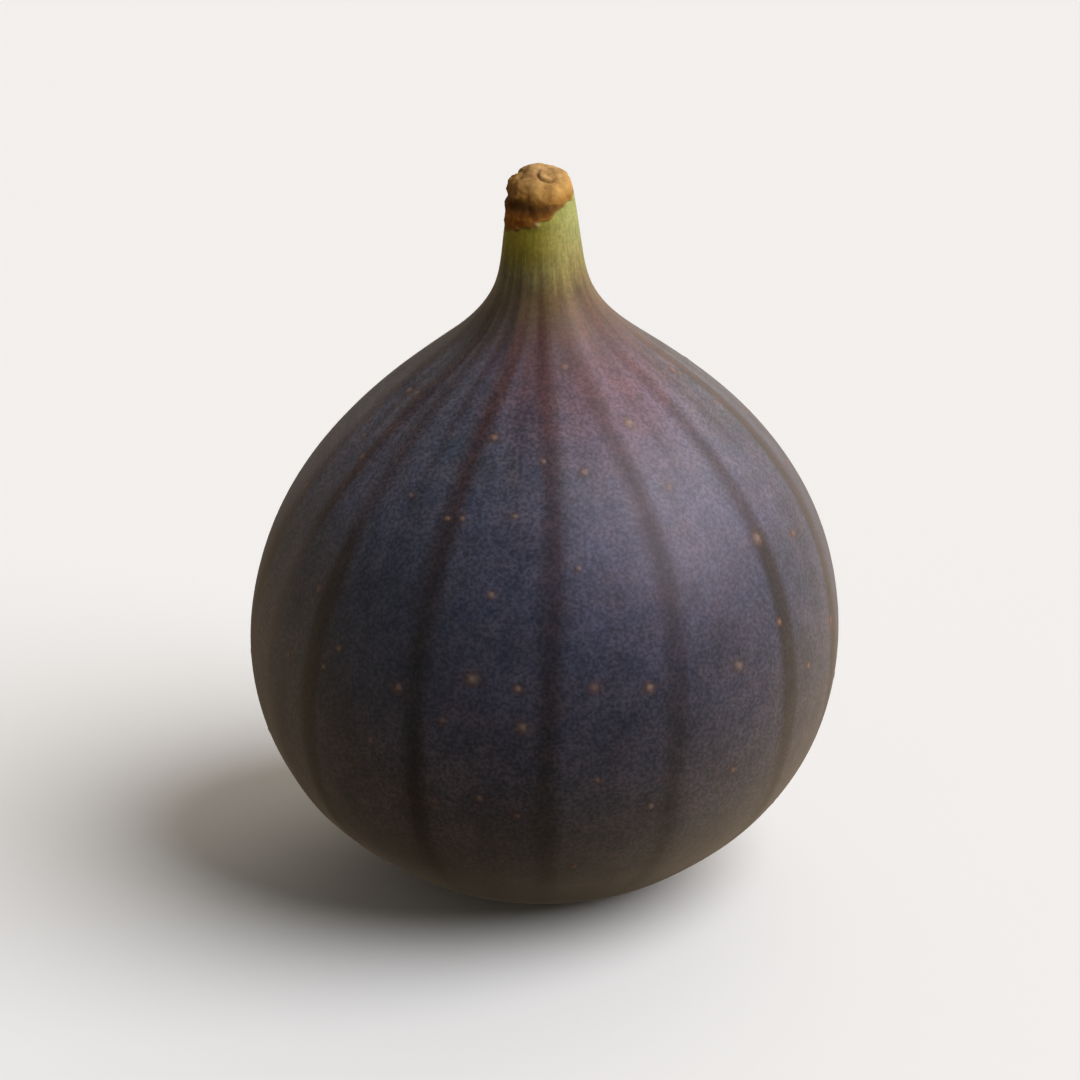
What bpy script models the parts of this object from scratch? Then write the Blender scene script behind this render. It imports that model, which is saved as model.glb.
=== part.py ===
"""Fresh fig: one whole fruit that stands on its base, with ribs, a neck and the cut end of its stalk.

Metres, +Z up. The origin is on the surface that the fig stands on, under the middle of the fruit.
A turn is an angle round the upright axis, in degrees: 0 faces -Y and 90 faces +X.
"""

import math

import bmesh
import bpy
import numpy as np

# Driving dimensions, in metres
HEIGHT = 0.0623
WIDTH = 0.0502
REST_WIDTH = 0.012  # outer width of the flat ring that the soft fruit rests on
EYE_WIDTH = 0.008  # the hollow round the eye, inside that ring
EYE_DEPTH = 0.0008
PANEL_DIP = 0.0002  # how far the skin sinks halfway between two ribs
CUT_SLOPE = 0.10  # fall of the cut end towards +X, in metres a metre

# Levels, as shares of HEIGHT
RIBS_RISE = (0.02, 0.20)  # the ribs come up between these levels
RIBS_FADE = (0.60, 0.90)  # and run out again between these
CUT_SLOPES_FROM = 0.93

# The skin's outline above the flat ring: height as a share of HEIGHT, radius as a share of WIDTH / 2
SKIN_LINE = (
    (0.000, REST_WIDTH / WIDTH),
    (0.017, 0.474),
    (0.052, 0.616),
    (0.120, 0.805),
    (0.215, 0.943),
    (0.331, 1.000),
    (0.457, 0.954),
    (0.565, 0.829),
    (0.656, 0.645),
    (0.742, 0.394),
    (0.791, 0.245),
    (0.840, 0.161),
    (0.900, 0.130),
    (0.982, 0.106),
)

# How far the middle of the fruit wanders towards +X: height as a share of HEIGHT, then metres
MIDDLE_LINE = (
    (0.00, -0.00010),
    (0.13, -0.00014),
    (0.40, 0.00004),
    (0.66, 0.00028),
    (0.86, -0.00020),
    (1.00, -0.00032),
)

# Where the ribs run, as turns, once round the fruit
RIB_TURNS = (0.5, 26, 54.5, 79, 105, 130, 154, 181, 207, 231, 256, 282, 309.5, 334.5)

# Fineness of the solid
COLUMNS_PER_PANEL = 6
SKIN_POINTS = 30
DOME_POINTS = 5
EYE_POINTS = 4
MIDDLE_POINTS = 40
MERGE_DISTANCE = 0.000001

SKIN_COLOUR = (0.045, 0.038, 0.055, 1.0)
SKIN_ROUGHNESS = 0.55


def clear_scene():
    for old in list(bpy.data.objects):
        bpy.data.objects.remove(old, do_unlink=True)


def ease(value, low, high):
    """0 below low, 1 above high and smooth between them."""
    share = min(max((value - low) / (high - low), 0.0), 1.0)
    return share * share * (3.0 - 2.0 * share)


def smooth_line(knots, count):
    """Count points, evenly spaced, of the natural cubic spline through the knots."""
    knots = np.array(knots, dtype=float)
    gaps = np.linalg.norm(np.diff(knots, axis=0), axis=1)
    along = np.concatenate(([0.0], np.cumsum(gaps)))
    rows = np.eye(len(knots))
    turning = np.zeros_like(knots)
    slopes = np.diff(knots, axis=0) / gaps[:, None]
    for i in range(1, len(knots) - 1):
        rows[i, i - 1:i + 2] = gaps[i - 1], 2.0 * (gaps[i - 1] + gaps[i]), gaps[i]
        turning[i] = 6.0 * (slopes[i] - slopes[i - 1])
    bend = np.linalg.solve(rows, turning)

    at = np.linspace(0.0, along[-1], count)
    i = np.clip(np.searchsorted(along, at) - 1, 0, len(gaps) - 1)
    gap = gaps[i][:, None]
    past = (at - along[i])[:, None]
    left = gap - past
    curved = (bend[i] * left ** 3 + bend[i + 1] * past ** 3) / (6.0 * gap)
    straight = (knots[i] * left + knots[i + 1] * past) / gap
    return curved + straight - (bend[i] * left + bend[i + 1] * past) * gap / 6.0


def half_section():
    """The fig's outline from the eye, round the skin, to the middle of the cut end, as (radius, height)."""
    section = []
    for share in np.linspace(0.0, 1.0, EYE_POINTS, endpoint=False):
        hollow = EYE_DEPTH * (1.0 + math.cos(math.pi * share)) / 2.0
        section.append((share * EYE_WIDTH / 2.0, hollow))
    section.append((EYE_WIDTH / 2.0, 0.0))

    knots = [(radius * WIDTH / 2.0, height * HEIGHT) for height, radius in SKIN_LINE]
    section.extend(smooth_line(knots, SKIN_POINTS))

    edge_radius, edge_height = knots[-1]
    for angle in np.linspace(0.0, math.pi / 2.0, DOME_POINTS + 1)[1:]:
        dome = edge_height + (HEIGHT - edge_height) * math.sin(angle)
        section.append((edge_radius * math.cos(angle), dome))
    return section


def spin_section(section, columns):
    """A closed body of revolution about Z, from a section that starts and ends on the axis."""
    body = bmesh.new()
    verts = [body.verts.new((0.0, -radius, height)) for radius, height in section]
    edges = [body.edges.new(pair) for pair in zip(verts, verts[1:])]
    bmesh.ops.spin(
        body,
        geom=verts + edges,
        cent=(0.0, 0.0, 0.0),
        axis=(0.0, 0.0, 1.0),
        angle=math.tau,
        steps=columns,
        use_merge=True,
    )
    bmesh.ops.remove_doubles(body, verts=body.verts, dist=MERGE_DISTANCE)
    bmesh.ops.recalc_face_normals(body, faces=body.faces)
    return body


def shape_fruit(body):
    """Lines the columns up with the ribs, sinks the panels between them, slopes the cut and bends the fruit."""
    levels, offsets = smooth_line(MIDDLE_LINE, MIDDLE_POINTS).T
    ribs = RIB_TURNS + (RIB_TURNS[0] + 360.0,)
    for vert in body.verts:
        x, y, z = vert.co
        radius = math.hypot(x, y)
        level = z / HEIGHT
        if radius > MERGE_DISTANCE:
            panel = math.degrees(math.atan2(x, -y)) % 360.0 / 360.0 * len(RIB_TURNS)
            turn = math.radians(np.interp(panel, range(len(ribs)), ribs))
            ribbed = ease(level, *RIBS_RISE) * (1.0 - ease(level, *RIBS_FADE))
            radius -= PANEL_DIP * math.sin(math.pi * panel) ** 2 * ribbed
            vert.co.x = radius * math.sin(turn)
            vert.co.y = -radius * math.cos(turn)
        vert.co.z -= CUT_SLOPE * vert.co.x * ease(level, CUT_SLOPES_FROM, 1.0)
        vert.co.x += np.interp(level, levels, offsets)


def skin_material():
    material = bpy.data.materials.new("fig_skin")
    material.use_nodes = True
    shader = material.node_tree.nodes["Principled BSDF"]
    shader.inputs["Base Color"].default_value = SKIN_COLOUR
    shader.inputs["Roughness"].default_value = SKIN_ROUGHNESS
    shader.inputs["Metallic"].default_value = 0.0
    return material


def add_fig():
    body = spin_section(half_section(), COLUMNS_PER_PANEL * len(RIB_TURNS))
    shape_fruit(body)
    mesh = bpy.data.meshes.new("fig")
    body.to_mesh(mesh)
    body.free()
    mesh.shade_smooth()
    mesh.materials.append(skin_material())
    fig = bpy.data.objects.new("fig", mesh)
    bpy.context.collection.objects.link(fig)


clear_scene()
add_fig()
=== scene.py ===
import functools
import math
import random

import bmesh
import bpy
import numpy as np
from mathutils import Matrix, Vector, kdtree, noise


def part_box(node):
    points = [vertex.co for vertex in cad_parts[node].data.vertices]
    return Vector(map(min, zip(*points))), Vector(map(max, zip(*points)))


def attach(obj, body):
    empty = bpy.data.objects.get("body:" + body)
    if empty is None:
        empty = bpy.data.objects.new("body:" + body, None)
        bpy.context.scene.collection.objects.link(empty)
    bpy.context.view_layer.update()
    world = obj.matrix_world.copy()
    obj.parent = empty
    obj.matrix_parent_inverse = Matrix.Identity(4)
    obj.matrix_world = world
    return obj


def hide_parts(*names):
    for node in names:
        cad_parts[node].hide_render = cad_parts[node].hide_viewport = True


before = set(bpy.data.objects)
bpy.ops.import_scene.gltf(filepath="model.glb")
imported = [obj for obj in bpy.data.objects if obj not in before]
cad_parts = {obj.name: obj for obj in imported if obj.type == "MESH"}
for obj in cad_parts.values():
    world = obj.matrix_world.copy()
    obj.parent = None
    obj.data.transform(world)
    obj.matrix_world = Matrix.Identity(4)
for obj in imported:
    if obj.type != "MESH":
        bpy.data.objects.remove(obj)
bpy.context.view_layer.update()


# ---- The fruit ------------------------------------------------------------------------------
# A fig is one fleshy bag that closes over its own flowers, so its skin is a single sheet from the
# eye underneath, up over the belly and shoulders, to the cut stalk. It is turned from half its
# outline. The soft flesh has flattened into a ring round the eye, and the fig stands on that ring.

MM = 0.001
low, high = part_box("fig")
TALL = high.z
HALF_WIDE = (high.y - low.y) / 2
RING_INNER = 4.0 * MM
RING_OUTER = 6.0 * MM
EYE_RISE = 0.8 * MM
CUT_RISE = 1.72 * MM  # how far the cut end domes above its rim

# Level (height as a share of the fig's) and radius (as a share of its half width)
OUTLINE = (
    (0.000, RING_OUTER / HALF_WIDE),
    (0.017, 0.474),
    (0.052, 0.616),
    (0.120, 0.805),
    (0.215, 0.943),
    (0.331, 1.000),
    (0.457, 0.954),
    (0.565, 0.829),
    (0.656, 0.645),
    (0.742, 0.394),
    (0.791, 0.245),
    (0.840, 0.161),
    (0.900, 0.130),
    (0.971, 0.107),
)
STALK_LEVEL = 0.905  # the turned rings are finer above this, for the cork
FINE_STEPS = 900
STEPS_A_RING = 5
CUT_RINGS = 36
EYE_RINGS = 26
FLAT_RINGS = 5
COLUMNS_A_PANEL = 14
PANELS = 15
MERGE_DISTANCE = 0.001 * MM

# Level and colour of the bare skin, from the foot up to the stalk. The darkening towards
# level 0.018 is painted shade where the foot curves under onto the floor
BARE_SKIN = (
    (0.000, (0.040, 0.030, 0.029)),
    (0.008, (0.028, 0.021, 0.020)),
    (0.018, (0.012, 0.009, 0.008)),
    (0.045, (0.034, 0.025, 0.017)),
    (0.14, (0.062, 0.048, 0.038)),
    (0.30, (0.030, 0.024, 0.024)),
    (0.50, (0.028, 0.021, 0.024)),
    (0.62, (0.036, 0.027, 0.032)),
    (0.72, (0.045, 0.036, 0.042)),
    (0.79, (0.066, 0.061, 0.058)),
    (0.835, (0.116, 0.116, 0.062)),
    (0.870, (0.225, 0.238, 0.086)),
    (0.910, (0.365, 0.405, 0.145)),
    (0.960, (0.385, 0.425, 0.150)),
)
# The green starts higher up on the neck's two sides than at its middle
LEFT_GREEN = (-3.0 * MM, 0.5 * MM)
LEFT_LAG = 0.026
RIGHT_GREEN = (1.5 * MM, 3.6 * MM)
RIGHT_LAG = 0.014
LAG_FROM = (0.79, 0.84)
GLOSS = 0.30
SHEEN = 0.03  # the pale edge of a downy skin
SHEEN_ROUGHNESS = 0.3


def smooth_line(knots, count):
    """Count points, evenly spaced, of the natural cubic spline through the knots."""
    knots = np.array(knots, dtype=float)
    gaps = np.linalg.norm(np.diff(knots, axis=0), axis=1)
    along = np.concatenate(([0.0], np.cumsum(gaps)))
    slopes = np.diff(knots, axis=0) / gaps[:, None]
    rows = np.eye(len(knots))
    turning = np.zeros_like(knots)
    for i in range(1, len(knots) - 1):
        rows[i, i - 1:i + 2] = gaps[i - 1], 2.0 * (gaps[i - 1] + gaps[i]), gaps[i]
        turning[i] = 6.0 * (slopes[i] - slopes[i - 1])
    bend = np.linalg.solve(rows, turning)

    at = np.linspace(0.0, along[-1], count)
    i = np.clip(np.searchsorted(along, at) - 1, 0, len(gaps) - 1)
    gap = gaps[i][:, None]
    past = (at - along[i])[:, None]
    left = gap - past
    curved = (bend[i] * left ** 3 + bend[i + 1] * past ** 3) / (6.0 * gap)
    straight = (knots[i] * left + knots[i + 1] * past) / gap
    return curved + straight - (bend[i] * left + bend[i + 1] * past) * gap / 6.0


def half_outline():
    """(radius, height) of points from the eye's middle, round the skin, to the cut's middle."""
    points = []
    for share in np.linspace(0.0, 1.0, EYE_RINGS, endpoint=False):
        points.append((RING_INNER * share, EYE_RISE * (1.0 + math.cos(math.pi * share)) / 2.0))
    for radius in np.linspace(RING_INNER, RING_OUTER, FLAT_RINGS, endpoint=False):
        points.append((radius, 0.0))

    knots = [(radius * HALF_WIDE, level * TALL) for level, radius in OUTLINE]
    skin = smooth_line(knots, FINE_STEPS)
    stalk = int(np.argmax(skin[:, 1] > STALK_LEVEL * TALL))
    points.extend(skin[:stalk:STEPS_A_RING])
    points.extend(skin[stalk:-1])

    rim_radius, rim_height = skin[-1]
    for angle in np.linspace(0.0, math.pi / 2.0, CUT_RINGS + 1)[:-1]:
        points.append((rim_radius * math.cos(angle), rim_height + CUT_RISE * math.sin(angle)))
    points.append((0.0, rim_height + CUT_RISE))
    return points


def turn_body(points, columns):
    """A closed body turned about Z from (radius, height) points that start and end on the axis."""
    body = bmesh.new()
    verts = [body.verts.new((0.0, -radius, height)) for radius, height in points]
    edges = [body.edges.new(pair) for pair in zip(verts, verts[1:])]
    bmesh.ops.spin(
        body,
        geom=verts + edges,
        cent=(0.0, 0.0, 0.0),
        axis=(0.0, 0.0, 1.0),
        angle=math.tau,
        steps=columns,
        use_merge=True,
    )
    bmesh.ops.remove_doubles(body, verts=body.verts, dist=MERGE_DISTANCE)
    bmesh.ops.recalc_face_normals(body, faces=body.faces)
    return body


fruit = turn_body(half_outline(), COLUMNS_A_PANEL * PANELS)

finish = bpy.data.materials.new("fig_skin")
finish.use_nodes = True
nodes = finish.node_tree.nodes
shader = nodes["Principled BSDF"]
shader.inputs["Specular IOR Level"].default_value = GLOSS
shader.inputs["Sheen Weight"].default_value = SHEEN
shader.inputs["Sheen Roughness"].default_value = SHEEN_ROUGHNESS

# The places of a Mix node's colour inputs and output
MIX_AMOUNT = 0
MIX_FIRST = 6
MIX_SECOND = 7
MIX_COLOUR = 2


def add_node(kind, inputs=(), **settings):
    """A new node of the finish. Each input is given a plain value or another node's output."""
    new = nodes.new(kind)
    for name, value in settings.items():
        setattr(new, name, value)
    for name, value in dict(inputs).items():
        if isinstance(value, bpy.types.NodeSocket):
            finish.node_tree.links.new(value, new.inputs[name])
        else:
            new.inputs[name].default_value = value
    return new


def ramp(value, stops):
    """The colour at a value, blended between stops of (value, colour)."""
    new = add_node("ShaderNodeValToRGB", {"Fac": value})
    while len(new.color_ramp.elements) < len(stops):
        new.color_ramp.elements.new(1.0)
    for element, (position, colour) in zip(new.color_ramp.elements, stops):
        element.position = position
        element.color = (*colour, 1.0)
    return new.outputs["Color"]


def cover(colour, over, amount, blend_type="MIX"):
    """One colour laid over another by an amount from 0 to 1."""
    inputs = {MIX_AMOUNT: amount}
    for index, value in ((MIX_FIRST, colour), (MIX_SECOND, over)):
        inputs[index] = value if isinstance(value, bpy.types.NodeSocket) else (*value, 1.0)
    mix = add_node("ShaderNodeMix", inputs, data_type="RGBA", blend_type=blend_type)
    return mix.outputs[MIX_COLOUR]


def tinted(colour, tint, amount):
    """A colour multiplied by a tint, by an amount from 0 to 1."""
    return cover(colour, tint, amount, "MULTIPLY")


def graded(value, start, end, first=0.0, last=1.0):
    """A value that eases from first at start to last at end."""
    inputs = {"Value": value, "From Min": start, "From Max": end, "To Min": first, "To Max": last}
    eased = add_node("ShaderNodeMapRange", inputs, interpolation_type="SMOOTHSTEP")
    return eased.outputs["Result"]


def maths(operation, *values):
    """The result of one sum on two or three values."""
    return add_node("ShaderNodeMath", dict(enumerate(values)), operation=operation).outputs[0]


def grain(place, size, detail=2.0, harshness=0.5):
    """Soft noise about 0.5, with grains of a size; harsher noise has stronger small grains."""
    inputs = {"Vector": place, "Scale": 1.0 / size, "Detail": detail, "Roughness": harshness}
    return add_node("ShaderNodeTexNoise", inputs).outputs["Fac"]


def painted(name, output="Fac"):
    """A value that the mesh carries at each point."""
    return add_node("ShaderNodeAttribute", attribute_name=name).outputs[output]


place = add_node("ShaderNodeTexCoord").outputs["Object"]
apart = add_node("ShaderNodeSeparateXYZ", {0: place})
across = apart.outputs["X"]
level = maths("DIVIDE", apart.outputs["Z"], TALL)
left_behind = graded(across, *LEFT_GREEN, -LEFT_LAG, 0.0)
right_behind = graded(across, *RIGHT_GREEN, 0.0, -RIGHT_LAG)
behind = maths("ADD", left_behind, right_behind)
behind = maths("MULTIPLY", behind, graded(level, *LAG_FROM))
colour = ramp(maths("ADD", level, behind), BARE_SKIN)


# ---- The ribs -------------------------------------------------------------------------------
# Fifteen thick veins run under the skin from the stalk to the eye. Each shows as a soft dark line
# on a low ridge, and the panel of skin between two of them is a little flatter than a true round.
# The columns of the mesh follow the ribs and gather at them.

# Each rib's turn at four levels (degrees from the front, to the right), then how strongly it shows
# below and above the middle
RIB_LEVELS = (0.20, 0.42, 0.68, 0.79)
RIBS = (
    (0.6, 0.4, 0.6, -0.3, 1.0, 0.9),
    (26.1, 25.7, 24.2, 19.5, 0.8, 1.10),
    (55.0, 54.3, 55.4, 54.4, 1.3, 0.65),
    (77.0, 77.0, 86.0, 90.0, 1.5, 1.8),
    (104.0, 106.0, 111.0, 113.0, 1.0, 0.8),
    (131.0, 130.0, 132.5, 131.0, 0.8, 0.9),
    (155.5, 154.0, 153.0, 156.0, 0.9, 0.7),
    (180.0, 182.0, 181.0, 179.0, 0.8, 0.8),
    (207.5, 206.0, 207.0, 205.0, 1.0, 0.9),
    (231.0, 232.0, 230.0, 233.0, 0.8, 0.7),
    (256.5, 256.0, 258.0, 257.0, 0.9, 0.8),
    (280.5, 279.5, 280.5, 281.0, 1.5, 0.9),
    (295.5, 295.0, 299.0, 303.0, 0.5, 1.25),
    (307.2, 309.6, 310.4, 311.0, 1.4, 0.75),
    (333.8, 334.5, 335.4, 338.5, 0.95, 1.35),
)
STRENGTH_STEP = (0.50, 0.60)  # the levels between which a rib changes its strength
GATHER = 0.25  # 0 spaces the columns evenly, and more gathers them at the ribs
# Level, and how far the middle of a panel sinks there, in millimetres
PANEL_DIP = (
    (0.05, 0.000),
    (0.20, 0.070),
    (0.45, 0.085),
    (0.62, 0.100),
    (0.72, 0.090),
    (0.82, 0.000),
)
UNEVEN = 0.12 * MM
UNEVEN_SIZE = 12.0 * MM
UNEVEN_DIP = 0.10 * MM  # the form is fully uneven where the panels sink as far as this
LEVEL_DIGITS = 4  # the ribs are placed anew at each level rounded to this many digits
RIB_EDGE = (0.10 * MM, 1.70 * MM)
RIBS_NARROW = (0.50, 0.78)
RIBS_NARROWER = 1.25
RIBS_END = (0.79, 0.88)
STREAM_STRETCH = (1.0, 1.0, 0.14)  # draws grains out along the ribs
RIB_WANDER = 1.1 * MM  # a rib's edge wanders within this width
WANDER_SIZE = 0.10
BREAK_SIZE = 0.16
BREAKS = (0.35, 0.65, 0.62, 1.0)  # grain from and to, and how much of the rib shows at each
# Level and colour of a rib. The darkening towards level 0.018 is painted shade where the foot
# curves under onto the floor
RIB_SHADE = (
    (0.000, (0.026, 0.019, 0.018)),
    (0.018, (0.010, 0.007, 0.006)),
    (0.06, (0.028, 0.020, 0.015)),
    (0.14, (0.035, 0.025, 0.020)),
    (0.25, (0.024, 0.018, 0.017)),
    (0.45, (0.019, 0.014, 0.016)),
    (0.60, (0.030, 0.019, 0.023)),
    (0.72, (0.050, 0.028, 0.031)),
    (0.80, (0.075, 0.050, 0.042)),
    (0.87, (0.170, 0.135, 0.050)),
    (0.93, (0.300, 0.260, 0.075)),
)

# One faint vein in each panel, near the neck: its place across the panel and its strength
VEIN_SEED = 3
VEIN_PLACES = (0.35, 0.65)
VEIN_STRENGTHS = (0.25, 0.65)
VEIN_HALF_WIDTH = 0.45 * MM
VEINS_START = (0.58, 0.70)
VEINS_END = (0.80, 0.86)
vein_chance = random.Random(VEIN_SEED)
vein_places = [vein_chance.uniform(*VEIN_PLACES) for _ in range(PANELS)]
vein_strengths = [vein_chance.uniform(*VEIN_STRENGTHS) for _ in range(PANELS)]

# How far the middle of the fruit wanders to the right: level, then metres
MIDDLE_LINE = (
    (0.00, -0.00010),
    (0.13, -0.00014),
    (0.40, 0.00004),
    (0.66, 0.00028),
    (0.86, -0.00020),
    (1.00, -0.00032),
)
LINE_STEPS = 200  # the points that a smooth line is read from

rib_rows = np.array(RIBS)
rib_turn_rows = rib_rows[:, :len(RIB_LEVELS)]
rib_strengths = rib_rows[:, len(RIB_LEVELS):]
rib_curves = np.polyfit(RIB_LEVELS, rib_turn_rows.T, len(RIB_LEVELS) - 1)
middle_levels, middle_offsets = smooth_line(MIDDLE_LINE, LINE_STEPS).T


def ease(value, start, end):
    """0 before start, 1 past end and smooth between them."""
    share = min(max((value - start) / (end - start), 0.0), 1.0)
    return share * share * (3.0 - 2.0 * share)


def bump(value, middle, width):
    """1 at the middle, falling away on both sides over the width."""
    return math.exp(-((value - middle) / width) ** 2)


@functools.lru_cache(maxsize=None)
def rib_turns(level):
    """The turns of the ribs at a level, and of the first one again after a full turn."""
    turns = np.polyval(rib_curves, min(max(level, RIB_LEVELS[0]), RIB_LEVELS[-1]))
    return np.append(turns, turns[0] + 360.0)


def turn_of(point):
    """The angle of a point round the upright axis, in degrees from the front to the right."""
    return math.degrees(math.atan2(point.x, -point.y))


def follow_ribs(body):
    """Moves each column of the plain body onto its place between two ribs."""
    for vert in body.verts:
        radius = math.hypot(vert.co.x, vert.co.y)
        if radius < MERGE_DISTANCE:
            continue
        column = round((turn_of(vert.co) % 360.0) / 360.0 * PANELS * COLUMNS_A_PANEL)
        panel, step = divmod(column, COLUMNS_A_PANEL)
        share = step / COLUMNS_A_PANEL
        share -= GATHER * math.sin(math.tau * share) / math.tau
        turns = rib_turns(round(vert.co.z / TALL, LEVEL_DIGITS))
        first = turns[panel % PANELS]
        second = turns[panel % PANELS + 1]
        turn = math.radians(first + (second - first) * share)
        vert.co.x = radius * math.sin(turn)
        vert.co.y = -radius * math.cos(turn)


def shape_panels(body):
    """Notes how each point lies to the ribs, flattens the panels and bends the fruit a little."""
    distance = body.verts.layers.float.new("rib_distance")
    strength = body.verts.layers.float.new("rib_strength")
    vein = body.verts.layers.float.new("vein")
    stream = body.verts.layers.float_vector.new("stream")
    dip_levels, dips = np.array(PANEL_DIP).T
    body.normal_update()
    for vert in body.verts:
        level = vert.co.z / TALL
        turns = rib_turns(round(level, LEVEL_DIGITS))
        turn = turns[0] + (turn_of(vert.co) - turns[0]) % 360.0
        panel = float(np.interp(turn, turns, range(len(turns))))
        nearest = round(panel) % PANELS
        radius = math.hypot(vert.co.x, vert.co.y)
        away = radius * math.radians(abs(turn - turns[round(panel)]))
        low_strength, high_strength = rib_strengths[nearest]
        stronger = (high_strength - low_strength) * ease(level, *STRENGTH_STEP)
        number = int(panel) % PANELS
        from_vein = (panel - int(panel) - vein_places[number]) * radius * math.tau / PANELS
        in_sight = ease(level, *VEINS_START) * (1.0 - ease(level, *VEINS_END))
        vein_shown = in_sight * bump(from_vein, 0.0, VEIN_HALF_WIDTH)
        vert[vein] = vein_strengths[number] * vein_shown
        vert[distance] = away
        vert[strength] = low_strength + stronger
        around = math.tau * panel / PANELS
        vert[stream] = Vector((math.sin(around), -math.cos(around), vert.co.z / HALF_WIDE))

        dip = float(np.interp(level, dip_levels, dips)) * MM
        flat = dip * math.sin(math.pi * panel) ** 2
        uneven = UNEVEN * noise.noise(vert.co / UNEVEN_SIZE) * min(dip / UNEVEN_DIP, 1.0)
        vert.co += vert.normal * (uneven - flat)
        vert.co.x += float(np.interp(level, middle_levels, middle_offsets))


follow_ribs(fruit)
shape_panels(fruit)


def stretched(place, scale):
    """A place scaled along each axis, so that the grains on it come out longer or shorter."""
    inputs = {0: place, 1: scale}
    return add_node("ShaderNodeVectorMath", inputs, operation="MULTIPLY").outputs["Vector"]


stream = painted("stream", "Vector")
streaky = stretched(stream, STREAM_STRETCH)
wander = maths("MULTIPLY_ADD", grain(streaky, WANDER_SIZE), RIB_WANDER, -RIB_WANDER / 2.0)
narrower = graded(level, *RIBS_NARROW, 1.0, RIBS_NARROWER)
from_rib = maths("MULTIPLY", painted("rib_distance"), narrower)
rib = graded(maths("ADD", from_rib, wander), *RIB_EDGE, 1.0, 0.0)
rib = maths("MULTIPLY", rib, painted("rib_strength"))
rib = maths("MULTIPLY", rib, graded(grain(streaky, BREAK_SIZE), *BREAKS))
rib = maths("MULTIPLY", rib, graded(level, *RIBS_END, 1.0, 0.0))
rib = maths("MINIMUM", maths("MAXIMUM", rib, painted("vein")), 1.0)
colour = cover(colour, ramp(level, RIB_SHADE), rib)


# ---- The bloom ------------------------------------------------------------------------------
# A thin bluish wax lies on the ripe skin. It is full on the panels, rubbed off along the ribs and
# in faint lengthwise streaks, and it ends where the neck turns green. Patches over it tint the
# skin in places, some of them with painted light and shade.

# Level and colour of the full bloom. The darkening towards level 0.018 is painted shade where the
# foot curves under onto the floor
BLOOM = (
    (0.000, (0.062, 0.050, 0.052)),
    (0.008, (0.042, 0.034, 0.034)),
    (0.018, (0.013, 0.011, 0.010)),
    (0.05, (0.041, 0.035, 0.027)),
    (0.11, (0.110, 0.097, 0.087)),
    (0.17, (0.104, 0.093, 0.096)),
    (0.24, (0.078, 0.072, 0.092)),
    (0.35, (0.060, 0.060, 0.096)),
    (0.50, (0.051, 0.059, 0.112)),
    (0.61, (0.069, 0.078, 0.139)),
    (0.70, (0.085, 0.098, 0.152)),
    (0.76, (0.094, 0.100, 0.139)),
    (0.80, (0.102, 0.098, 0.106)),
)
BLOOM_ENDS = (0.775, 0.835)
# Patches where the skin is tinted unlike the rest: place, near and far reach (all in
# millimetres), tint, and how much of the tint the panels and the ribs take. Some are painted
# light and shade, as marked; the others redden it, shift its hue or make it lighter or darker
# in places
SKIN_AND_LIGHT_PATCHES = (
    # Thicker bloom on the lit shoulder, with a painted highlight
    ((12.0, -14.5, 39.0), (3.0, 17.0), (1.72, 1.54, 1.46), (1.0, 0.0)),
    ((4.0, -7.5, 48.5), (2.0, 14.0), (1.36, 0.82, 0.91), (1.0, 1.0)),
    # More of the painted highlight, towards the neck
    ((7.5, -6.0, 47.5), (2.0, 10.0), (1.17, 1.16, 1.16), (1.0, 1.0)),
    ((10.0, -21.0, 36.0), (5.0, 16.0), (1.13, 0.96, 1.07), (0.3, 1.0)),
    # More of the painted highlight, on the panels
    ((9.0, -18.5, 38.0), (2.0, 8.0), (1.15, 1.12, 1.12), (1.0, 0.3)),
    ((9.0, -22.5, 22.0), (2.0, 10.0), (0.86, 0.88, 0.90), (1.0, 0.5)),
    ((21.5, -12.5, 31.0), (2.0, 9.0), (0.86, 0.93, 0.96), (1.0, 1.0)),
    ((-16.0, -16.0, 32.0), (3.0, 14.0), (0.90, 1.01, 0.95), (0.8, 1.0)),
    ((-10.5, -21.0, 34.0), (1.0, 9.0), (0.86, 0.87, 0.86), (1.0, 0.6)),
    ((-6.0, -5.5, 49.0), (1.0, 7.0), (1.00, 1.12, 1.22), (1.0, 1.0)),
    ((1.0, -4.6, 51.2), (0.5, 4.0), (1.00, 1.00, 0.84), (1.0, 1.0)),
    ((-15.5, -7.0, 39.5), (3.0, 13.0), (1.28, 1.26, 1.26), (1.0, 1.0)),
    ((-16.5, -6.0, 42.0), (1.0, 6.0), (1.15, 1.18, 1.20), (1.0, 1.0)),
    ((-10.0, -21.5, 17.0), (2.0, 10.0), (1.34, 1.30, 1.22), (1.0, 0.3)),
    ((-6.5, -1.0, 51.5), (1.0, 5.5), (0.70, 0.70, 0.72), (1.0, 1.0)),
    ((-2.8, -5.1, 51.2), (0.5, 3.5), (1.07, 1.20, 1.22), (1.0, 1.0)),
    ((-1.2, -4.6, 53.2), (0.3, 2.0), (0.82, 0.82, 0.84), (1.0, 1.0)),
    # Painted shadow on the foot's front left, in this patch and the next
    ((-7.0, -14.5, 5.0), (2.0, 9.0), (0.68, 0.71, 0.74), (1.0, 1.0)),
    ((-14.0, -15.5, 8.5), (2.0, 8.0), (0.80, 0.80, 0.82), (1.0, 1.0)),
    # Painted bounce light on the foot's right
    ((12.0, -12.5, 5.5), (2.0, 10.0), (1.38, 1.38, 1.34), (1.0, 1.0)),
    # Painted rim light at the left edge, and in the next patch at the right edge
    ((-25.0, -3.0, 22.0), (2.0, 10.0), (1.42, 1.38, 1.36), (1.0, 1.0)),
    ((25.0, -2.0, 28.0), (2.0, 11.0), (1.26, 1.24, 1.22), (1.0, 1.0)),
)
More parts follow.
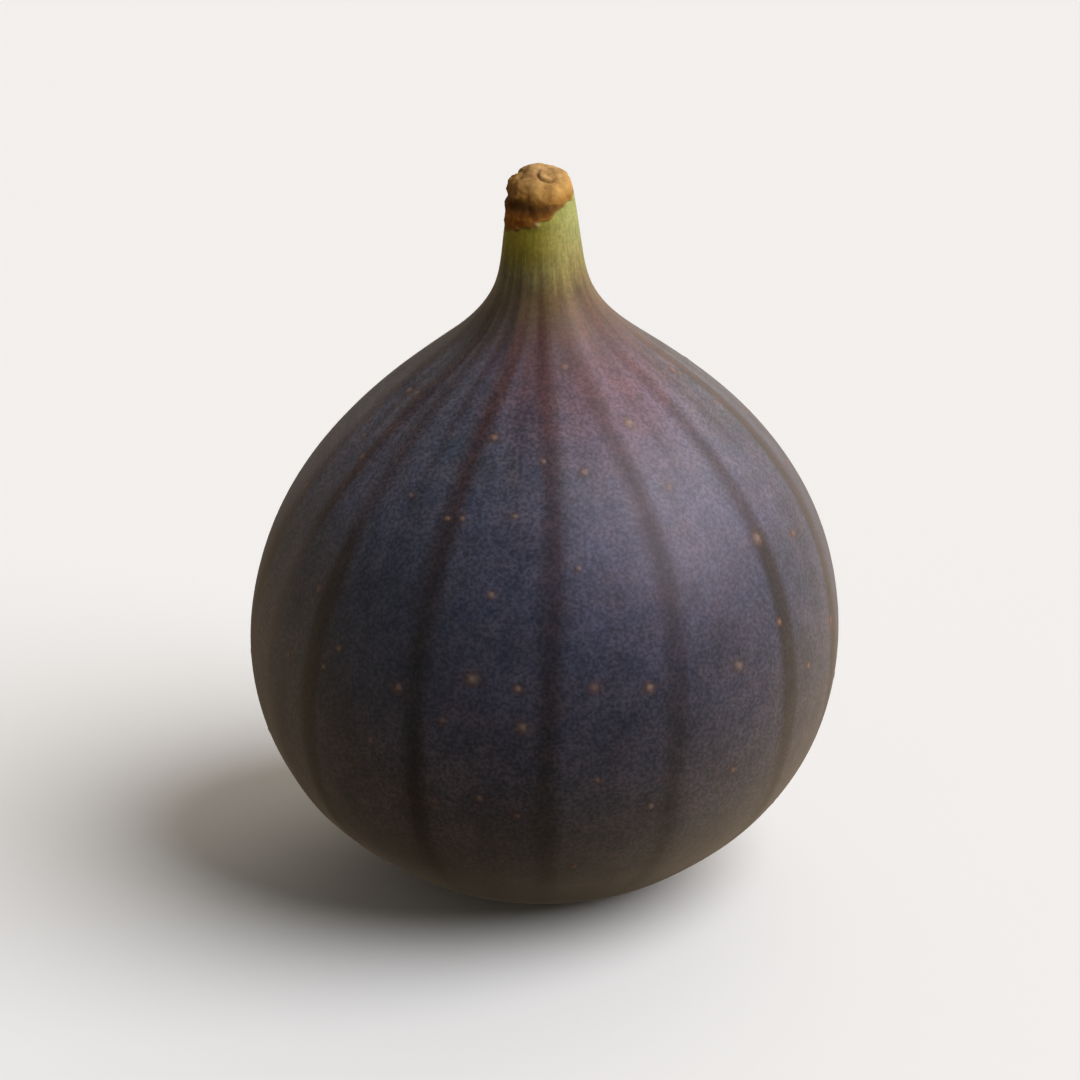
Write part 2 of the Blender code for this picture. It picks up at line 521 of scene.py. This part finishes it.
# Size and detail of the grain, then grain from and to and how much bloom is left at each
CLOUD_GRAIN = (5.0 * MM, 5.0)
CLOUDS = (0.30, 0.70, 0.74, 1.0)
SPECKLE_GRAIN = (0.30 * MM, 3.0)
SPECKLES = (0.30, 0.70, 0.75, 1.0)
STREAK_SIZE = 0.080
STREAKS = (0.32, 0.68)
STREAKS_LEAVE = (0.60, 0.76, 0.82, 0.68)  # the streaks are plainer near the neck
RUBBED_OFF = 0.80  # how much of the bloom a plain rib loses

# Size, detail and harshness of each mottle's grain, and its tint at three values of the grain
MOTTLES = (
    ((0.31 * MM, 2.0, 0.55), (
        (0.38, (0.70, 0.71, 0.73)),
        (0.50, (1.00, 1.00, 1.00)),
        (0.62, (1.35, 1.33, 1.31)),
    )),
    ((1.9 * MM, 3.0, 0.60), (
        (0.34, (0.76, 0.83, 0.87)),
        (0.50, (1.00, 1.00, 1.00)),
        (0.66, (1.24, 1.14, 1.08)),
    )),
)
# The mottle is weaker at the neck and at the foot: level from and to, and its strength at each
NECK_MOTTLE = (0.70, 0.82, 1.0, 0.40)
FOOT_MOTTLE = (0.08, 0.34, 0.45, 1.0)
BLOOM_AND_HIGHLIGHT_MOTTLE = 0.65  # and this strong in the first patch, where the bloom is thickest and a highlight is painted

clouds = graded(grain(place, *CLOUD_GRAIN), *CLOUDS)
streaks = graded(grain(streaky, STREAK_SIZE), *STREAKS, graded(level, *STREAKS_LEAVE), 1.0)
speckle = graded(grain(place, *SPECKLE_GRAIN), *SPECKLES)
rubbed = maths("SUBTRACT", 1.0, maths("MULTIPLY", rib, RUBBED_OFF))
bloom = maths("MULTIPLY", maths("MULTIPLY", clouds, streaks), maths("MULTIPLY", speckle, rubbed))
bloom = maths("MULTIPLY", bloom, graded(level, *BLOOM_ENDS, 1.0, 0.0))
colour = cover(colour, ramp(level, BLOOM), bloom)

patch_amounts = []
# Lays on each patch, those of painted light and shade together with the rest
for spot, reach, tint, shares in SKIN_AND_LIGHT_PATCHES:
    ends = {0: place, 1: Vector(spot) * MM}
    away = add_node("ShaderNodeVectorMath", ends, operation="DISTANCE").outputs["Value"]
    near, far = reach
    amount = graded(away, near * MM, far * MM, 1.0, 0.0)
    patch_amounts.append(amount)
    colour = tinted(colour, tint, maths("MULTIPLY", amount, graded(rib, 0.0, 1.0, *shares)))
mottled = maths("MULTIPLY", graded(level, *NECK_MOTTLE), graded(level, *FOOT_MOTTLE))
mottled = maths("MULTIPLY", mottled, graded(patch_amounts[0], 0.0, 1.0, 1.0, BLOOM_AND_HIGHLIGHT_MOTTLE))
for mottle_grain, tints in MOTTLES:
    colour = tinted(colour, ramp(grain(place, *mottle_grain), tints), mottled)


# ---- The neck -------------------------------------------------------------------------------
# Near the stalk the skin stays green. Fine pale and brownish fibres run along it, and the purple
# fades into it in uneven tongues.

NECK_LEVELS = (0.83, 0.89)
FIBRE_STRETCH = (1.0, 1.0, 0.7)
# Colour of each kind of fibre, then its grain's size, detail and harshness, then grain from and to
# and how much shows at each
FIBRES = (
    ((0.50, 0.50, 0.19), (0.060, 3.0, 0.7), (0.47, 0.68, 0.0, 0.38)),
    ((0.20, 0.16, 0.055), (0.045, 3.0, 0.7), (0.48, 0.68, 0.0, 0.36)),
)
TONGUES_START = (0.70, 0.80)
TONGUES_END = (0.85, 0.91, 1.0, 0.15)
TONGUE_SIZE = 0.19
# Tint of the dark tongues and of the pale ones, and the grain where they start and are full
TONGUES = (
    ((0.74, 0.68, 0.72), (0.50, 0.36)),
    ((1.24, 1.24, 1.24), (0.50, 0.64)),
)
# Painted shade on the neck's left side, a yellower tint there that stands in for warm light, and
# painted shade at its right edge: tint, the levels where it comes in, then the places across from
# and to and its strength at each
NECK_SIDES = (
    ((0.92, 0.92, 0.94), (0.84, 0.90), (-3.4 * MM, -1.0 * MM, 1.0, 0.0)),
    ((1.00, 0.86, 0.28), (0.86, 0.905), (-1.5 * MM, 2.5 * MM, 1.0, 0.0)),
    ((0.74, 0.78, 0.86), (0.88, 0.92), (1.8 * MM, 3.0 * MM, 0.0, 1.0)),
)

neck = graded(level, *NECK_LEVELS)
fibrous = stretched(stream, FIBRE_STRETCH)
for fibre_colour, fibre_grain, shows in FIBRES:
    fibre = graded(grain(fibrous, *fibre_grain), *shows)
    colour = cover(colour, fibre_colour, maths("MULTIPLY", neck, fibre))
tongued = maths("MULTIPLY", graded(level, *TONGUES_START), graded(level, *TONGUES_END))
tongue_grain = grain(streaky, TONGUE_SIZE)
for tint, shows in TONGUES:
    colour = tinted(colour, tint, maths("MULTIPLY", tongued, graded(tongue_grain, *shows)))
# Lays the painted shade and the warm-light tint on the neck's sides
for tint, levels, places in NECK_SIDES:
    side = maths("MULTIPLY", graded(level, *levels), graded(across, *places))
    colour = tinted(colour, tint, side)


# ---- The cut stalk --------------------------------------------------------------------------
# The stalk was cut from the tree and its end has healed over with cork. The cork makes a lumpy
# cap with a split at the pith, a lip that overhangs a crease and, on the left, a second roll
# below. The crease, the split and the cork's left side carry painted shade.

CORK_EDGE = 59.05 * MM
CORK_EDGE_SLOPE = 1.5 * MM
CORK_EDGE_TURN = 10.0
CORK_EDGE_SOFT = 0.18 * MM
RAGGED = 0.30 * MM  # how far the edge strays, and over what size
RAGGED_SIZE = 0.8 * MM
CREASE_HEIGHT = 59.75 * MM
CREASE_DEPTH = 0.12 * MM
ROLL_HEIGHT = 58.5 * MM
ROLL_SWELL = 0.10 * MM
ROLL_HALF_WIDTH = 0.45 * MM
ROLLS_STRAY = 0.25 * MM
ROLLS_STRAY_SIZE = 1.2 * MM
ROLLS_SHOW = (57.7 * MM, 60.3 * MM)  # full where the edge is this low, and none where this high

# Size and height of each grade of lump
LUMPS = (
    (1.10 * MM, 0.12 * MM),
    (0.45 * MM, 0.05 * MM),
    (0.24 * MM, 0.02 * MM),
)
ROUGH_SIDE = (0.7 * MM, 2.3 * MM)  # the lumps grow between these places to the left of the middle
ROUGHER = 2.1

SHARP_SIDE = 150.0  # the turn on which the cut has kept a flat top and a sharp corner
SHARP_FACING = (-0.3, 0.9)
ROUND_TOP = 2.1  # 2 is an ellipse, and more is a flatter top with a tighter rim
SHARP_TOP = 4.5
TAPER = 0.11  # how much narrower the cut end grows over its rise
CUT_TILT = Vector((-0.09, 0.08, 0.0))
TILTS_OVER = (58.6 * MM, 60.4 * MM)
TOP_FACES = (0.55, 0.85)  # how far up the surface has to face to be the cut's top
PITH = Vector((0.45 * MM, -0.45 * MM, 0.0))
HOLLOW_RADIUS = 0.6 * MM
HOLLOW_DEPTH = 0.20 * MM
SPLIT_RADIUS = 0.80 * MM
SPLIT_WIDTH = 0.16 * MM
SPLIT_DEPTH = 0.30 * MM
SPLIT_STARTS = (110.0, 175.0)  # degrees round the pith, from the right and away from the front
SPLIT_ENDS = (300.0, 345.0)

CORK = (
    (0.930, (0.48, 0.200, 0.028)),
    (0.946, (0.43, 0.170, 0.022)),
    (0.958, (0.24, 0.105, 0.018)),
    (0.968, (0.33, 0.160, 0.028)),
    (0.980, (0.50, 0.285, 0.080)),
    (1.000, (0.48, 0.300, 0.125)),
)
CORK_GRAIN = (1.2 * MM, 5.0, 0.7)
CORK_PATCHES = (
    (0.38, (0.70, 0.64, 0.58)),
    (0.50, (1.00, 1.00, 1.00)),
    (0.62, (1.14, 1.16, 1.22)),
)
# Painted shade on the cork's left side, away from the lamp: its tint, then where it is full and
# where it ends across
CORK_SHADE = (0.62, 0.54, 0.42)
CORK_SHADE_ENDS = (-3.0 * MM, 1.0 * MM)
# Dark colour of the cork's border line, laid also as painted shade in the crease and the split
CORK_DARK = (0.075, 0.028, 0.008)
CREASE_SHADE = 0.6
BORDER_STARTS = (0.15, 0.50)  # the cork's ragged edge is dark between bare skin and full cork
BORDER_ENDS = (0.50, 0.90)
BORDER_DARK = 0.5

# A pale crumb just under the cork
CRUMB_COLOUR = (0.50, 0.32, 0.15)
CRUMB_TURN = -8.0
CRUMB_HEIGHT = 58.55 * MM
CRUMB_RADIUS = 0.22 * MM
CRUMB_RISE = 0.14 * MM
CRUMB_UNEVEN = 0.5
CRUMB_UNEVEN_SIZE = 0.3 * MM
CRUMB_SHOWS = 1.2

cut_middle = Vector((float(middle_offsets[-1]), 0.0, 0.0))


def crown_cut(body):
    """Domes the cut end, so that one side keeps a sharp corner, then narrows it and tilts it."""
    rim_level, rim_share = OUTLINE[-1]
    for vert in body.verts:
        if vert.co.z <= rim_level * TALL:
            continue
        spot = vert.co - cut_middle
        share = min(math.hypot(spot.x, spot.y) / (rim_share * HALF_WIDE), 1.0)
        facing_sharp = math.cos(math.radians(turn_of(spot) - SHARP_SIDE))
        power = ROUND_TOP + (SHARP_TOP - ROUND_TOP) * ease(facing_sharp, *SHARP_FACING)
        rise = (1.0 - share ** power) ** (1.0 / power)
        vert.co.x = cut_middle.x + (1.0 - TAPER * rise) * spot.x
        vert.co.y = (1.0 - TAPER * rise) * spot.y
        vert.co.z = rim_level * TALL + CUT_RISE * rise
    for vert in body.verts:
        spot = vert.co - cut_middle
        flat = Vector((spot.x, spot.y, 0.0))
        vert.co.z += ease(spot.z, *TILTS_OVER) * flat.dot(CUT_TILT)
    body.normal_update()


def split_at(flat):
    """How much of the curved split there is at a place on the cut, from 0 to 1."""
    angle = math.degrees(math.atan2(flat.y - PITH.y, flat.x - PITH.x)) % 360.0
    run = ease(angle, *SPLIT_STARTS) * (1.0 - ease(angle, *SPLIT_ENDS))
    return run * bump((flat - PITH).length, SPLIT_RADIUS, SPLIT_WIDTH)


def crumb_at(spot):
    """How much of the crumb there is at a place on the stalk, from 0 to 1."""
    sideways = math.hypot(spot.x, spot.y) * math.radians(turn_of(spot) - CRUMB_TURN)
    uneven = 1.0 + CRUMB_UNEVEN * noise.noise(spot / CRUMB_UNEVEN_SIZE)
    return bump(math.hypot(sideways, spot.z - CRUMB_HEIGHT) * uneven, 0.0, CRUMB_RADIUS)


def grow_cork(body):
    """Raises the roll, the lumps and the crumb, sinks the crease and the split, and notes them."""
    cork = body.verts.layers.float.new("cork")
    crease = body.verts.layers.float.new("crease")
    crumb = body.verts.layers.float.new("crumb")
    for vert in body.verts:
        if vert.co.z < STALK_LEVEL * TALL:
            continue
        spot = vert.co - cut_middle
        flat = Vector((spot.x, spot.y, 0.0))
        edge_turn = math.radians(turn_of(spot) - CORK_EDGE_TURN)
        edge = CORK_EDGE + CORK_EDGE_SLOPE * math.sin(edge_turn)
        ragged = RAGGED * noise.noise(spot / RAGGED_SIZE)
        corky = ease(spot.z - edge - ragged, -CORK_EDGE_SOFT, CORK_EDGE_SOFT)
        shown = float(np.interp(edge, ROLLS_SHOW, (1.0, 0.0)))
        height = spot.z + ROLLS_STRAY * noise.noise(flat / ROLLS_STRAY_SIZE)
        in_crease = shown * bump(height, CREASE_HEIGHT, ROLL_HALF_WIDTH)
        top = ease(vert.normal.z, *TOP_FACES)
        split = top * split_at(flat)
        crumby = crumb_at(spot)

        out = ROLL_SWELL * shown * bump(height, ROLL_HEIGHT, ROLL_HALF_WIDTH)
        out -= CREASE_DEPTH * in_crease
        rougher = 1.0 + ROUGHER * ease(-spot.x, *ROUGH_SIDE)
        for size, rise in LUMPS:
            out += rougher * rise * corky * noise.noise(spot / size)
        out += CRUMB_RISE * crumby
        out -= SPLIT_DEPTH * split
        out -= HOLLOW_DEPTH * top * bump((flat - PITH).length, 0.0, HOLLOW_RADIUS)

        vert.co += vert.normal * out
        vert[cork] = corky
        vert[crease] = min(in_crease + split, 1.0)
        vert[crumb] = min(CRUMB_SHOWS * crumby, 1.0)


crown_cut(fruit)
grow_cork(fruit)

corky = painted("cork")
cork_colour = tinted(ramp(level, CORK), ramp(grain(place, *CORK_GRAIN), CORK_PATCHES), 1.0)
# Painted shade on the cork's left side
cork_colour = tinted(cork_colour, CORK_SHADE, graded(across, *CORK_SHADE_ENDS, 1.0, 0.0))
colour = cover(colour, cork_colour, corky)
border_end = graded(corky, *BORDER_ENDS, BORDER_DARK, 0.0)
border = maths("MULTIPLY", graded(corky, *BORDER_STARTS), border_end)
# Painted shade in the crease under the lip and in the split at the pith
crease_shade = maths("MULTIPLY", painted("crease"), CREASE_SHADE)
colour = cover(colour, CORK_DARK, maths("MAXIMUM", border, crease_shade))
colour = cover(colour, CRUMB_COLOUR, painted("crumb"))


# ---- The eye --------------------------------------------------------------------------------
# Underneath, the bag closes at the eye: rings of small pointed scales that overlap towards a tiny
# opening in the middle.

# Radius, number of scales and turn of each ring
SCALE_RINGS = (
    (2.90 * MM, 9, 0.0),
    (2.00 * MM, 7, 0.4),
    (1.15 * MM, 5, 0.9),
)
SCALE_STEP = 0.14 * MM
SCALE_EDGE = (-0.10 * MM, 0.03 * MM)
SCALE_POINT = 0.28  # how far a scale's tip reaches in, as a share of its ring's radius
SCALE_ROUND = 3  # more makes the scales rounder, with narrower gaps between their tips
SCALE_COLOUR = (0.19, 0.075, 0.045)
SCALE_INSIDE = 0.45  # how much of its colour a scale has away from its edge
SCALE_LINE = 0.08 * MM  # a line of full colour runs this far outside the edge
SCALE_LINE_WIDTH = 0.14 * MM
OPENING = (0.175 * MM, 0.525 * MM)
OPENING_DEPTH = 0.5 * MM
OPENING_DARK = 0.9
EYE_ENDS = (2.6 * MM, 3.8 * MM)


def close_eye(body):
    """Steps the scales up towards the opening and notes their colour."""
    eye = body.verts.layers.float.new("eye")
    for vert in body.verts:
        radius = math.hypot(vert.co.x, vert.co.y)
        if vert.co.z > EYE_RISE * 2.0 or radius > RING_INNER:
            continue
        around = math.radians(turn_of(vert.co))
        rise = 0.0
        line = 0.0
        for ring, count, start in SCALE_RINGS:
            pointed = abs(math.cos(count * (around + start) / 2.0)) ** SCALE_ROUND
            reach = ring * (1.0 - SCALE_POINT * pointed)
            rise += SCALE_STEP * (1.0 - ease(radius - reach, *SCALE_EDGE))
            line = max(line, bump(radius, reach + SCALE_LINE, SCALE_LINE_WIDTH))
        opening = 1.0 - ease(radius, *OPENING)
        vert.co.z += rise + OPENING_DEPTH * opening
        shown = (1.0 - ease(radius, *EYE_ENDS)) * (1.0 - OPENING_DARK * opening)
        vert[eye] = shown * (SCALE_INSIDE + (1.0 - SCALE_INSIDE) * line)


close_eye(fruit)

colour = cover(colour, SCALE_COLOUR, painted("eye"))


# ---- The pores ------------------------------------------------------------------------------
# The skin breathes through small corky pores, pale tan dots in a dark ring that stand a little
# proud. The largest ones on the front are listed one by one, and the others are scattered.

# Turn, level and radius in millimetres
FRONT_PORES = (
    (-64.0, 0.717, 0.22),
    (-63.7, 0.643, 0.26),
    (-38.3, 0.628, 0.20),
    (-18.4, 0.700, 0.22),
    (-25.3, 0.614, 0.17),
    (-21.3, 0.616, 0.18),
    (-0.6, 0.679, 0.20),
    (11.5, 0.769, 0.26),
    (7.4, 0.567, 0.18),
    (-11.6, 0.537, 0.22),
    (-53.9, 0.493, 0.28),
    (-43.7, 0.434, 0.22),
    (-58.8, 0.392, 0.26),
    (-47.1, 0.403, 0.20),
    (-28.8, 0.407, 0.30),
    (-14.1, 0.433, 0.34),
    (-5.2, 0.425, 0.20),
    (9.5, 0.425, 0.32),
    (20.0, 0.418, 0.26),
    (40.1, 0.418, 0.28),
    (54.5, 0.555, 0.34),
    (53.0, 0.451, 0.20),
    (11.6, 0.668, 0.26),
    (-7.9, 0.624, 0.20),
    (35.7, 0.639, 0.28),
    (33.0, 0.708, 0.30),
    (61.1, 0.371, 0.20),
    (-19.6, 0.373, 0.22),
    (-4.3, 0.374, 0.30),
    (-34.7, 0.324, 0.22),
    (-12.5, 0.266, 0.24),
    (-5.3, 0.242, 0.22),
    (-21.8, 0.252, 0.20),
    (9.8, 0.296, 0.18),
    (20.9, 0.244, 0.24),
    (38.9, 0.270, 0.20),
    (6.3, 0.146, 0.24),
)
FRONT_EDGE = 68.0  # the scattered pores leave the front alone as far as this turn
SCATTERED = 70
SCATTER_SEED = 5
SCATTER_LEVELS = (0.10, 0.74)
SCATTER_RADII = (0.15, 0.32)
# Each time, the mesh is cut twice as fine within the reach
PORE_REACHES = (1.2 * MM, 0.8 * MM, 0.5 * MM)
PORE_RISE = 0.04 * MM
PORE_UNEVEN = 0.5
PORE_UNEVEN_SIZE = 0.25 * MM
# Shares of a pore's radius: its colour, the ring round it, its dome's slope and its whole reach
PORE_CORE = 1.1
HALO_MIDDLE = 1.5
HALO_WIDTH = 1.0
PORE_DOME = (0.3, 1.5)
PORE_SPAN = 3.0
SHOWS_SEED = 8
PORE_SHOWS = (0.45, 0.88)  # some pores are faint and some are plain
PORE_COLOUR = (0.240, 0.128, 0.090)
PALE_PORE = (0.30, 0.215, 0.165)
HALO_COLOUR = (0.050, 0.021, 0.017)
HALO_SHOWS = 0.55


def place_pores():
    """(point near the skin, radius) of every pore."""
    chance = random.Random(SCATTER_SEED)
    spots = list(FRONT_PORES)
    for _ in range(SCATTERED):
        turn = chance.uniform(FRONT_EDGE, 360.0 - FRONT_EDGE)
        level = chance.uniform(*SCATTER_LEVELS)
        spots.append((turn, level, chance.uniform(*SCATTER_RADII)))
    levels, radii = smooth_line(OUTLINE, LINE_STEPS).T
    placed = []
    for turn, level, size in spots:
        radius = HALF_WIDE * float(np.interp(level, levels, radii))
        around = math.radians(turn)
        point = (radius * math.sin(around), -radius * math.cos(around), level * TALL)
        placed.append((Vector(point), size * MM))
    return placed


def tree_of(body):
    """A tree that finds the points of the mesh near a place."""
    tree = kdtree.KDTree(len(body.verts))
    for vert in body.verts:
        tree.insert(vert.co, vert.index)
    tree.balance()
    return tree


def refine_near(body, spots, reach):
    """Cuts the mesh finer round each spot, so that a pore has enough points."""
    body.verts.index_update()
    tree = tree_of(body)
    near = set()
    for point, _ in spots:
        near.update(index for _, index, _ in tree.find_range(tree.find(point)[0], reach))
    edges = [edge for edge in body.edges if all(vert.index in near for vert in edge.verts)]
    bmesh.ops.subdivide_edges(body, edges=edges, cuts=1, use_grid_fill=True)
    body.verts.ensure_lookup_table()
    body.verts.index_update()
    body.normal_update()


def raise_pores(body, spots):
    """Lifts each pore a little and notes its colour and the dark ring round it."""
    pore = body.verts.layers.float.new("pore")
    halo = body.verts.layers.float.new("halo")
    pale = body.verts.layers.float.new("pale_pore")
    tree = tree_of(body)
    chance = random.Random(SHOWS_SEED)
    for point, size in spots:
        centre = tree.find(point)[0]
        shown = chance.uniform(*PORE_SHOWS)
        paleness = chance.random()
        for _, index, distance in tree.find_range(centre, PORE_SPAN * size):
            vert = body.verts[index]
            away = distance / size
            uneven = 1.0 + PORE_UNEVEN * noise.noise(vert.co / PORE_UNEVEN_SIZE)
            vert[pore] = max(vert[pore], shown * bump(away * uneven, 0.0, PORE_CORE))
            vert[pale] = paleness
            vert[halo] = max(vert[halo], shown * bump(away, HALO_MIDDLE, HALO_WIDTH))
            vert.co += vert.normal * PORE_RISE * (1.0 - ease(away, *PORE_DOME))


pores = place_pores()
for reach in PORE_REACHES:
    refine_near(fruit, pores, reach)
raise_pores(fruit, pores)

pore = painted("pore")
colour = cover(colour, HALO_COLOUR, maths("MULTIPLY", painted("halo"), HALO_SHOWS))
colour = cover(colour, cover(PORE_COLOUR, PALE_PORE, painted("pale_pore")), pore)


# ---- The finished skin ----------------------------------------------------------------------
# All of the above is one piece. The waxy skin has a soft gloss, the cork and the pores are dull,
# and a very fine grain breaks up the shine.

SKIN_ROUGHNESS = 0.46
CORK_ROUGHNESS = 0.85
# How far the skin's gloss goes towards the cork's: on the pores, on the neck, and on the foot and
# the ring it rests on (level from and to, and how far at each)
PORE_DULL = 0.7
NECK_DULL = 0.8
FOOT_DULL = (0.03, 0.14, 0.45, 0.0)
REST_DULL = (0.01, 0.04, 1.0, 0.0)
RELIEF_GRAIN = (0.28 * MM, 3.0)
RELIEF_DEPTH = 0.05 * MM
RELIEF_STRENGTH = 0.2

dull = maths("MAXIMUM", corky, maths("MULTIPLY", pore, PORE_DULL))
dull = maths("MAXIMUM", dull, maths("MULTIPLY", neck, NECK_DULL))
dull = maths("MAXIMUM", dull, graded(level, *FOOT_DULL))
dull = maths("MAXIMUM", dull, graded(level, *REST_DULL))
relief = add_node("ShaderNodeBump", {
    "Height": grain(place, *RELIEF_GRAIN),
    "Strength": RELIEF_STRENGTH,
    "Distance": RELIEF_DEPTH,
})
links = finish.node_tree.links
links.new(colour, shader.inputs["Base Color"])
links.new(graded(dull, 0.0, 1.0, SKIN_ROUGHNESS, CORK_ROUGHNESS), shader.inputs["Roughness"])
links.new(relief.outputs["Normal"], shader.inputs["Normal"])

fig_mesh = bpy.data.meshes.new("fig_fruit")
fruit.to_mesh(fig_mesh)
fruit.free()
fig_mesh.shade_smooth()
fig_mesh.materials.append(finish)
fig = bpy.data.objects.new("fig_fruit", fig_mesh)
bpy.context.collection.objects.link(fig)
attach(fig, "root")
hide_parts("fig")


# ---- The floor ------------------------------------------------------------------------------
# A large plain pale sheet, the top of a studio table. Its own glow would wash out the dark
# underside of the fruit, so it takes the fig's shadow but throws no light back.

FLOOR_HALF = 3.5
FLOOR_COLOUR = (0.80, 0.83, 0.90, 1.0)
FLOOR_ROUGHNESS = 0.95
FLOOR_GLOSS = 0.1

sheet = bmesh.new()
bmesh.ops.create_grid(sheet, x_segments=1, y_segments=1, size=FLOOR_HALF)
floor_mesh = bpy.data.meshes.new("floor")
sheet.to_mesh(floor_mesh)
sheet.free()
floor_finish = bpy.data.materials.new("floor")
floor_finish.use_nodes = True
floor_shader = floor_finish.node_tree.nodes["Principled BSDF"]
floor_shader.inputs["Base Color"].default_value = FLOOR_COLOUR
floor_shader.inputs["Roughness"].default_value = FLOOR_ROUGHNESS
floor_shader.inputs["Specular IOR Level"].default_value = FLOOR_GLOSS
floor_mesh.materials.append(floor_finish)
floor = bpy.data.objects.new("floor", floor_mesh)
floor.visible_diffuse = False
floor.visible_glossy = False
floor.visible_shadow = False
bpy.context.collection.objects.link(floor)


# ---- The light ------------------------------------------------------------------------------
# One large soft lamp stands to the right, high up. The room behind, at the sides and below gives
# fainter broad glows.

KEY_TURN = 74.0
KEY_RISE = 46.0
KEY_STRENGTH = 3.15
KEY_SPREAD = 56.0
WHITE = (1.03, 1.0, 0.95)
PALE = (1.06, 1.0, 0.87)
WARM = (1.35, 1.0, 0.62)
CREAM = (1.18, 1.0, 0.82)
# Turn and rise in degrees, spread in degrees, strength and colour of each glow in the room
GLOWS = (
    (150.0, 30.0, 35.0, 1.08, PALE),
    (320.0, 18.0, 50.0, 0.20, PALE),
    (96.0, -40.0, 40.0, 0.50, CREAM),
    (133.0, 2.0, 47.0, 0.62, WARM),
    (112.0, -14.0, 30.0, 0.48, WARM),
    (262.0, -12.0, 36.0, 0.18, WARM),
    (238.0, -12.0, 30.0, 0.34, WARM),
)


def toward(turn, rise):
    """The direction at a turn from the front and a rise above level, both in degrees."""
    turn = math.radians(turn)
    rise = math.radians(rise)
    level_part = math.cos(rise)
    return Vector((math.sin(turn) * level_part, -math.cos(turn) * level_part, math.sin(rise)))


key = bpy.data.lights.new("key", "SUN")
key.energy = KEY_STRENGTH
key.angle = math.radians(KEY_SPREAD)
key.color = WHITE
key_light = bpy.data.objects.new("key", key)
key_light.rotation_mode = "QUATERNION"
key_light.rotation_quaternion = toward(KEY_TURN, KEY_RISE).to_track_quat("Z", "Y")
bpy.context.collection.objects.link(key_light)

room = bpy.data.worlds.new("studio")
room.use_nodes = True
room_nodes = room.node_tree.nodes
room_links = room.node_tree.links
bpy.context.scene.world = room
around_us = room_nodes.new("ShaderNodeTexCoord").outputs["Generated"]


def room_maths(operation, *values):
    """The result of one sum in the room's light."""
    new = room_nodes.new("ShaderNodeMath")
    new.operation = operation
    for index, value in enumerate(values):
        if isinstance(value, bpy.types.NodeSocket):
            room_links.new(value, new.inputs[index])
        else:
            new.inputs[index].default_value = value
    return new.outputs[0]


def facing(direction):
    """How nearly each part of the room lies in a direction: 1 is exactly there."""
    new = room_nodes.new("ShaderNodeVectorMath")
    new.operation = "DOT_PRODUCT"
    room_links.new(around_us, new.inputs[0])
    new.inputs[1].default_value = direction
    return new.outputs["Value"]


def glow(amount, colour):
    """Light of a colour from the room, by an amount."""
    new = room_nodes.new("ShaderNodeBackground")
    new.inputs["Color"].default_value = (*colour, 1.0)
    room_links.new(amount, new.inputs["Strength"])
    return new.outputs[0]


glows = []
for turn, rise, spread, strength, tint in GLOWS:
    sharpness = 1.0 / (1.0 - math.cos(math.radians(spread)))
    away = room_maths("SUBTRACT", facing(toward(turn, rise)), 1.0)
    fall = room_maths("EXPONENT", room_maths("MULTIPLY", away, sharpness))
    glows.append(glow(room_maths("MULTIPLY", fall, strength), tint))
total = glows[0]
for one in glows[1:]:
    both = room_nodes.new("ShaderNodeAddShader")
    room_links.new(total, both.inputs[0])
    room_links.new(one, both.inputs[1])
    total = both.outputs[0]
room_links.new(total, room_nodes["World Output"].inputs["Surface"])

bpy.context.scene.view_settings.view_transform = "Standard"


# ---- The camera -----------------------------------------------------------------------------
# A long lens looks slightly down on the fig from the front.

CAMERA_LENS = 176.1
CAMERA_DISTANCE = 0.45
CAMERA_RISE = 23.5
BELLY = Vector((0.0, 0.0, 0.331 * TALL))
AIM = Vector((-0.43 * MM, 0.0, 29.4 * MM))

camera_data = bpy.data.cameras.new("camera")
camera_data.lens = CAMERA_LENS
camera = bpy.data.objects.new("camera", camera_data)
camera.location = BELLY + toward(0.0, CAMERA_RISE) * CAMERA_DISTANCE
camera.rotation_mode = "QUATERNION"
camera.rotation_quaternion = (AIM - camera.location).to_track_quat("-Z", "Y")
bpy.context.collection.objects.link(camera)
bpy.context.scene.camera = camera
